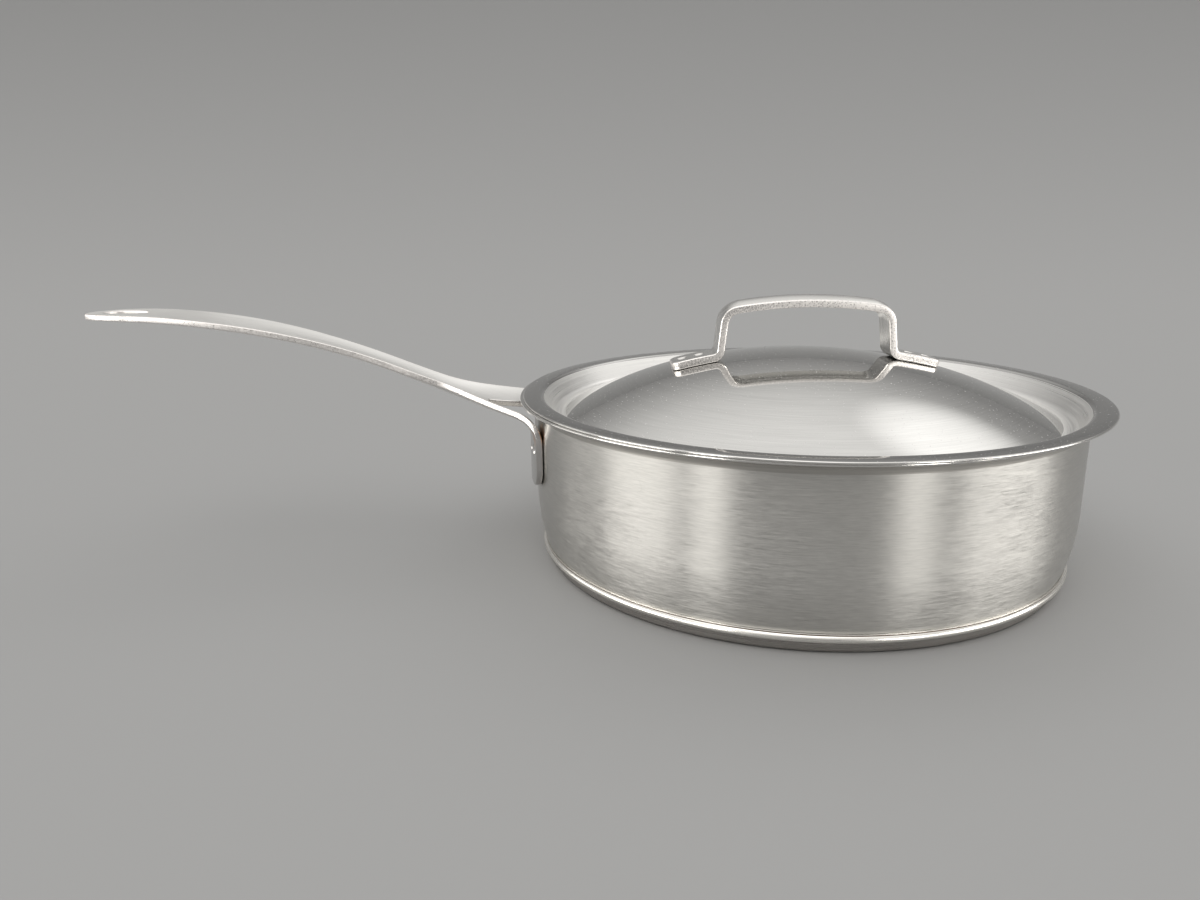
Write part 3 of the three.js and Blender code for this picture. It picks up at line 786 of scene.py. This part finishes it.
def handle_place(along, across, depth):
    x, z, angle = handle_at(along)
    half = np.maximum(handle_half(along), LEAST_HALF)
    hollow = GRIP_DISH * blend((TIP_START - along) / TIP_LENGTH)
    hollow = hollow + (FORK_DISH - GRIP_DISH) * blend((NECK_END - along) / DISH_LENGTH)
    hollow = hollow * blend((along - BEND_START) / (BEND_END - BEND_START))
    wrap = blend((NECK_START - along) / (NECK_START - BEND_END))
    sagitta = wrap * (FLANGE_RADIUS - np.sqrt(FLANGE_RADIUS**2 - across**2))
    drop = hollow * (1 - np.minimum(1, np.abs(across) / half) ** 2)
    return np.stack([x - np.sin(angle) * depth + sagitta, across, z + np.cos(angle) * depth - drop], 1)


def handle_loops():
    """The outline, the slot and the weld holes.

    One half of the outline runs from the fork's tip, down its inner edge, round the flange and out to the
    handle's tip, and the other is its mirror image.
    """
    table = np.linspace(BEND_START, HANDLE_LENGTH, TABLE_POINTS)
    reach = -handle_at(table)[0] - FLANGE_RADIUS  # distance out from the wall

    def length_at(out):
        return float(np.interp(out, reach, table))

    half = FORK_OPENING / 2
    centre = FORK_DEPTH - FORK_TIP_RADIUS
    run = centre - STRAP_THICKNESS
    spread = math.atan2(half, run) - math.asin(FORK_TIP_RADIUS / math.hypot(half, run))
    tip = arc((centre, 0), FORK_TIP_RADIUS, 0, UP - spread, ROUND_STEPS)
    taper = along_line(tip[-1], (STRAP_THICKNESS, half))
    notch = [(length_at(out), across) for out, across in tip[:-1] + taper]
    notch += along_line((length_at(STRAP_THICKNESS), half), (0, half))
    notch += along_line((0, half), (0, FORK_WIDTH / 2 - FLANGE_CORNER))
    corner = FLANGE_CORNER * (1 - np.cos(np.linspace(0, UP, CORNER_POINTS)))
    tip_end = TIP_START + TIP_LENGTH * np.sin(np.linspace(0, UP, TIP_POINTS))
    straight = np.arange(FLANGE_CORNER + LOOP_STEP, TIP_START, LOOP_STEP)
    side = np.concatenate([corner, straight, tip_end])
    outer = np.stack([side, handle_half(side)], 1)
    upper = np.concatenate([np.array(notch), outer])
    lower = upper[1:-1][::-1] * (1, -1)
    outline = np.concatenate([upper, lower])[::-1]
    radius = HOLE_WIDTH / 2
    far = HANDLE_LENGTH - HOLE_EDGE - radius
    near = far - HOLE_LENGTH + HOLE_WIDTH
    slot = arc((far, 0), radius, UP, -UP, SLOT_STEPS)
    slot += along_line((far, -radius), (near, -radius))[1:]
    slot += arc((near, 0), radius, -UP, -3 * UP, SLOT_STEPS)
    slot += along_line((near, radius), (far, radius))[1:]
    loops = [(outline, STRAP_ROUND), (np.array(slot), STRAP_ROUND)]
    for across in flange_welds():
        hole = circle((FLANGE_WELD_HEIGHT, across), WELD_RADIUS, WELD_SEGMENTS)
        loops.append((hole, HOLE_ROUND))
    return loops


def flange_welds():
    middle = (FORK_WIDTH + FORK_OPENING) / 4
    offsets = (middle + FLANGE_WELD_SPACING / 2, middle - FLANGE_WELD_SPACING / 2)
    return [sign * offset for sign in (-1, 1) for offset in offsets]


def long_handle():
    widest = FORK_WIDTH / 2
    along = np.arange(0, HANDLE_LENGTH, GRID_STEP)
    across = np.linspace(-widest, widest, 2 * round(widest / GRID_STEP) + 1)
    grid = np.stack(np.meshgrid(along, across), -1).reshape(-1, 2)
    return plate("long_handle", handle_loops(), grid, handle_place, STRAP_THICKNESS, [STRAP, STRAP_EDGE])


# Lid and its handle


def lid_dome():
    lean, rise = math.sin(STEP_DRAFT), math.cos(STEP_DRAFT)
    outside = (INNER_RADIUS - STEP_CLEARANCE) * rise - FLARE_HEIGHT * lean  # along the step's normal
    reach = DOME_RADIUS + TROUGH_ROUND
    turn = STEP_DRAFT + math.asin((outside - LID_SHEET - TROUGH_ROUND + DOME_CENTRE * lean) / reach)
    trough = (reach * math.sin(turn), DOME_CENTRE + reach * math.cos(turn))
    flange_height = LID_TOP - STEP_ROUND
    run = TROUGH_ROUND + STEP_ROUND + (flange_height - trough[1]) * lean
    flange = (trough[0] + run / rise, flange_height)

    def face(depth):
        dome = arc((0, DOME_CENTRE), DOME_RADIUS - depth, UP, UP - turn, DOME_STEPS)
        dome[0] = (0, DOME_TOP - depth)
        step = arc(trough, TROUGH_ROUND + depth, 3 * UP - turn, 4 * UP - STEP_DRAFT, CURVE_STEPS)
        return dome, step, arc(flange, STEP_ROUND - depth, 2 * UP - STEP_DRAFT, UP, ROUND_STEPS)

    dome, step, rounding = face(0)
    half = LID_SHEET / 2
    edge = arc((LID_RADIUS - half, LID_TOP - half), half, -UP, UP, CORNER_STEPS)
    # slot 4, the flat ring, takes steel painted darker: painted shade
    runs = [(1, sum(face(LID_SHEET), [])), (2, edge), (4, edge[-1:] + rounding[::-1])]
    # slot 3, the step, takes steel painted lighter: painted light
    runs += [(3, rounding[:1] + step[::-1]), (0, dome[::-1])]
    return turned("lid_dome", runs, [LID, INSIDE, RIM, LID_STEP_PAINTED_LIGHT, LID_RING_PAINTED_SHADE], LID_PLACE)


def lid_handle_route():
    leg, slope = BAR_CLEARANCE, 0.0
    for _ in range(SEATING_ROUNDS):
        stretches = [
            (BAR_RADIUS * BAR_HALF_ANGLE, -BAR_HALF_ANGLE),
            (BAR_CORNER * (LEG_SLOPE - BAR_HALF_ANGLE), BAR_HALF_ANGLE - LEG_SLOPE),
            (leg, 0.0),
            (FOOT_BEND * (LEG_SLOPE - slope), LEG_SLOPE - slope),
            (FOOT_LENGTH, 0.0),
        ]
        at, total = route((0.0, DOME_TOP + BAR_CLEARANCE), 0.0, stretches)
        x, z, _ = at(total - FOOT_LENGTH / 2)
        slope = math.asin(float(x) / DOME_RADIUS)
        seat = DOME_CENTRE + math.sqrt(DOME_RADIUS**2 - float(x) ** 2)
        leg += (float(z) - seat - SEAT_GAP) / math.sin(LEG_SLOPE)
    return at, total, stretches


bar_at, BAR_TOTAL, BAR_STRETCHES = lid_handle_route()
LEG_START = BAR_STRETCHES[0][0] + BAR_STRETCHES[1][0]
FOOT_MIDDLE = BAR_TOTAL - FOOT_LENGTH / 2


def bar_place(along, across, depth):
    x, z, angle = bar_at(np.abs(along))
    crown = BAR_CROWN * blend((LEG_START - np.abs(along)) / CROWN_FADE)
    height = BAR_THICKNESS - depth + crown * (1 - (2 * across / BAR_WIDTH) ** 2)
    beside = np.abs(along) - FOOT_MIDDLE
    seated = blend((FOOT_LENGTH - np.abs(beside)) / FOOT_LENGTH * 2)
    height = height - seated * (beside**2 / (2 * DOME_RADIUS) + FOOT_SETTLE * depth / BAR_THICKNESS)
    sideways = np.sign(along) * (x - np.sin(angle) * height)
    return np.stack([LID_PLACE[0] + sideways, LID_PLACE[1] + across, z + np.cos(angle) * height], 1)


def foot_welds():
    shifts = (-FOOT_WELD_SPACING / 2, FOOT_WELD_SPACING / 2)
    return [sign * (FOOT_MIDDLE + shift) for sign in (-1, 1) for shift in shifts]


def lid_grip():
    half = BAR_WIDTH / 2
    end = BAR_TOTAL - FOOT_CORNER
    inner = half - FOOT_CORNER
    outline = along_line((-end, -half), (end, -half), BAR_STEP)
    outline += arc((end, -inner), FOOT_CORNER, -UP, 0, ROUND_STEPS)
    outline += along_line((BAR_TOTAL, -inner), (BAR_TOTAL, inner), BAR_STEP)[1:]
    outline += arc((end, inner), FOOT_CORNER, 0, UP, ROUND_STEPS)
    outline += along_line((end, half), (-end, half), BAR_STEP)[1:]
    outline += arc((-end, inner), FOOT_CORNER, UP, 2 * UP, ROUND_STEPS)
    outline += along_line((-BAR_TOTAL, inner), (-BAR_TOTAL, -inner), BAR_STEP)[1:]
    outline += arc((-end, -inner), FOOT_CORNER, 2 * UP, 3 * UP, ROUND_STEPS)[:-1]
    loops = [(np.array(outline), BAR_ROUND)]
    for along in foot_welds():
        loops.append((circle((along, 0), WELD_RADIUS, WELD_SEGMENTS), HOLE_ROUND))
    along = np.linspace(-BAR_TOTAL, BAR_TOTAL, 2 * round(BAR_TOTAL / BAR_STEP))
    across = np.linspace(-half, half, BAR_ROWS)
    grid = np.stack(np.meshgrid(along, across), -1).reshape(-1, 2)
    return plate("lid_grip", loops, grid, bar_place, BAR_THICKNESS, [BAR, BAR_EDGE])


# Spot welds


def weld(name, seat, top, axis):
    """A pressed weld spot between two faces of its sheet, dished at the top."""
    sheet = (top - seat).length
    upper = [(share * WELD_RADIUS, sheet - WELD_DISH * depth) for share, depth in WELD_SHAPE]
    upper.append((WELD_RADIUS, sheet - WELD_EDGE))
    profile = [(0, 0), (WELD_RADIUS, 0)] + upper[::-1]
    made = turned(name, [(0, profile)], [WELD], segments=WELD_SEGMENTS)
    along = Vector((0, 0, 1)).rotation_difference(axis).to_matrix().to_4x4()
    made.data.transform(Matrix.Translation(seat * MM) @ along)
    made.data.attributes.new("along", "FLOAT", "POINT")  # the streaks read it, and it stays zero here
    return made


# Build

fit(pan_body(), "pan", "wall_steel", "pan_shell")
fit(capsule_cap(), "pan", "cap_steel", "base_capsule")
fit(seam_line(), "pan", "seam_braze", "base_seam_bead")
fit(long_handle(), "pan", "handle_steel", "pan_handle")
fit(lid_dome(), "lid", "lid_steel", "lid_shell")
fit(lid_grip(), "lid", "handle_steel", "lid_handle")
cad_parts["base_core"].data.materials.clear()
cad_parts["base_core"].data.materials.append(CORE)

for across, place in zip(flange_welds(), ("near_outer", "near_inner", "far_outer", "far_inner")):
    out = -Vector((math.sqrt(FLANGE_RADIUS**2 - across**2), -across, 0)) / FLANGE_RADIUS
    seat = out * FLANGE_RADIUS + Vector((0, 0, FLANGE_BOTTOM + FLANGE_WELD_HEIGHT))
    top = seat + out * STRAP_THICKNESS * -out.x
    fit(weld(f"flange_weld_{place}", seat, top, out), "pan", "weld_steel", f"pan_handle_weld_{place}")

for along, place in zip(foot_welds(), ("left_inner", "left_outer", "right_inner", "right_outer")):
    ends = bar_place(np.array([along, along]), np.zeros(2), np.array([BAR_THICKNESS, 0.0]))
    seat, top = Vector(ends[0]), Vector(ends[1])
    spot = weld(f"foot_weld_{place}", seat, top, (top - seat).normalized())
    fit(spot, "lid", "weld_steel", f"lid_handle_weld_{place}")


# Stage, light and camera

FLOOR_NEAR = -4.0
FLOOR_FAR = 0.9
FLOOR_SIDE = 5.0
SWEEP_RADIUS = 1.2
SWEEP_TOP = 0.75
FLOOR_LEVEL = -0.0002
FLOOR_COLOUR = (0.41, 0.41, 0.41, 1)
LAMP_DISTANCE = 1.25
LAMP_HEIGHT = 0.25
LAMP_TALL = 0.42
LAMP_COLOUR = (1.0, 0.98, 0.94)
LAMP_AIM = Vector((0, 0, 0.05))
# Soft panels: azimuth in degrees from +X, width in metres and power in watts
LAMPS = {
    "fill_left": (166, 0.50, 1.2),
    "softbox_left": (197.5, 0.72, 6.0),
    "strip_left": (227, 0.28, 2.8),
    "strip_right": (302, 0.28, 2.5),
    "softbox_right": (340, 0.92, 7.1),
}
SKY_COLOUR = (1, 0.99, 0.97, 1)
# Levels of the sky, by the height of a direction of length one
SKY_STOPS = [
    (0.0, 0.30),
    (0.2, 0.28),
    (0.32, 0.31),
    (0.44, 0.44),
    (0.55, 0.62),
    (0.64, 0.8),
    (0.77, 1.0),
    (0.87, 1.1),
]
# Soft patches of the sky: azimuth from +X, rise and reach in degrees, and level
GLOWS = [(46, 42, 16, 0.68), (248, 56, 34, 0.75), (24, 33, 16, 0.45)]


def studio_floor():
    """A pale floor that sweeps up into a low backdrop."""
    turn = np.linspace(-UP, math.asin(SWEEP_TOP / SWEEP_RADIUS - 1), SWEEP_POINTS)
    line = [(FLOOR_NEAR, 0.0)]
    line += [(FLOOR_FAR + SWEEP_RADIUS * math.cos(t), SWEEP_RADIUS * (1 + math.sin(t))) for t in turn]
    points = [(side, y, z + FLOOR_LEVEL) for y, z in line for side in (-FLOOR_SIDE, FLOOR_SIDE)]
    faces = [(2 * i, 2 * i + 1, 2 * i + 3, 2 * i + 2) for i in range(len(line) - 1)]
    mesh = bpy.data.meshes.new("studio_floor")
    mesh.from_pydata(points, [], faces)
    mesh.shade_smooth()
    material = bpy.data.materials.new("studio_paper")
    material.use_nodes = True
    shader = material.node_tree.nodes["Principled BSDF"]
    shader.inputs["Base Color"].default_value = FLOOR_COLOUR
    shader.inputs["Roughness"].default_value = 1.0
    shader.inputs["Specular IOR Level"].default_value = 0.0
    mesh.materials.append(material)
    made = bpy.data.objects.new("studio_floor", mesh)
    bpy.context.scene.collection.objects.link(made)


def softbox(name, azimuth, width, power):
    """A soft panel that faces the pan and shows in the steel alone."""
    turn = math.radians(azimuth)
    light = bpy.data.lights.new(name, "AREA")
    light.shape = "RECTANGLE"
    light.size, light.size_y = width, LAMP_TALL
    light.energy = power
    light.color = LAMP_COLOUR
    made = bpy.data.objects.new(name, light)
    made.location = (LAMP_DISTANCE * math.cos(turn), LAMP_DISTANCE * math.sin(turn), LAMP_HEIGHT)
    aim = LAMP_AIM - made.location
    made.rotation_euler = aim.to_track_quat("-Z", "Y").to_euler()
    made.visible_diffuse = False
    bpy.context.scene.collection.objects.link(made)


def studio_sky():
    """Soft light from above, weak near the horizon."""
    world = bpy.data.worlds.new("studio")
    bpy.context.scene.world = world
    world.use_nodes = True
    tree = world.node_tree
    place = add(tree, "TexCoord").outputs["Generated"]
    height = add(tree, "SeparateXYZ", {0: place}).outputs[2]
    ramp = add(tree, "ValToRGB", {0: height})
    while len(ramp.color_ramp.elements) < len(SKY_STOPS):
        ramp.color_ramp.elements.new(1.0)
    for element, (position, level) in zip(ramp.color_ramp.elements, SKY_STOPS):
        element.position = position
        element.color = (level, level, level, 1)
    strength = ramp.outputs[0]
    for azimuth, rise, reach, level in GLOWS:
        turn, lift = math.radians(azimuth), math.radians(rise)
        toward = (math.cos(turn) * math.cos(lift), math.sin(turn) * math.cos(lift), math.sin(lift))
        facing = add(tree, "VectorMath", {0: place, 1: toward}, operation="DOT_PRODUCT").outputs["Value"]
        edge = math.cos(math.radians(reach))
        glow = add(tree, "MapRange", {"Value": facing, 1: edge, 2: 1.0, 3: 0.0, 4: level})
        glow.interpolation_type = "SMOOTHSTEP"
        strength = maths(tree, "ADD", strength, glow.outputs[0])
    tree.links.new(strength, tree.nodes["Background"].inputs["Strength"])
    tree.nodes["Background"].inputs["Color"].default_value = SKY_COLOUR


studio_floor()
studio_sky()
for lamp, setting in LAMPS.items():
    softbox(lamp, *setting)

forward = Vector((0, math.cos(CAMERA_PITCH), -math.sin(CAMERA_PITCH)))
level = Vector((1, 0, 0))
upward = level.cross(forward)
rightward = math.cos(CAMERA_ROLL) * level + math.sin(CAMERA_ROLL) * upward
upright = math.cos(CAMERA_ROLL) * upward - math.sin(CAMERA_ROLL) * level
camera_data = bpy.data.cameras.new("camera")
camera_data.lens = CAMERA_LENS
camera_data.sensor_width = CAMERA_SENSOR
camera_data.clip_start = CAMERA_NEAR
camera = bpy.data.objects.new("camera", camera_data)
camera.matrix_world = Matrix.Translation(CAMERA_PLACE) @ Matrix(
    (rightward, upright, -forward)
).transposed().to_4x4()
bpy.context.scene.collection.objects.link(camera)
bpy.context.scene.camera = camera
bpy.context.scene.view_settings.view_transform = "Standard"
